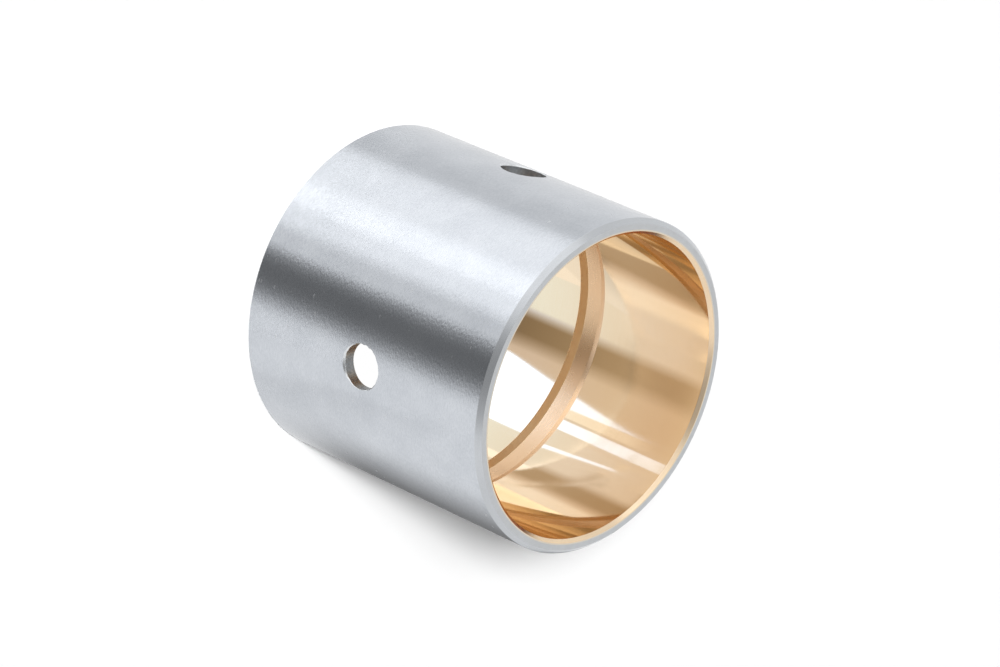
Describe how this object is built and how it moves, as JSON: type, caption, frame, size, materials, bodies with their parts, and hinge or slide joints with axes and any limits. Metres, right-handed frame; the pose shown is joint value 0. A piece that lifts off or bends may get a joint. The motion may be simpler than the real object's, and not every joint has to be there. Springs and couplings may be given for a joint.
{
  "type": "bushing",
  "caption": "Steel-backed bronze sleeve bushing with an annular oil groove in the bore and radial oil holes through the wall.",
  "frame": {"origin": "centre of the lower end face, on the axis of the bore", "axes": "+Z along the bore, out of the upper end; the first oil hole faces -Y, and the second is 100 degrees round from it, near -X"},
  "size_m": [0.055, 0.055, 0.052],
  "materials": {
    "steel": "fine ground outside and faced ends, satin",
    "bronze": "bored smooth, bright in the bore and duller in the oil groove"
  },
  "bodies": {
    "root": {"steel_shell": "steel", "bronze_lining": "bronze"}
  },
  "joints": []
}
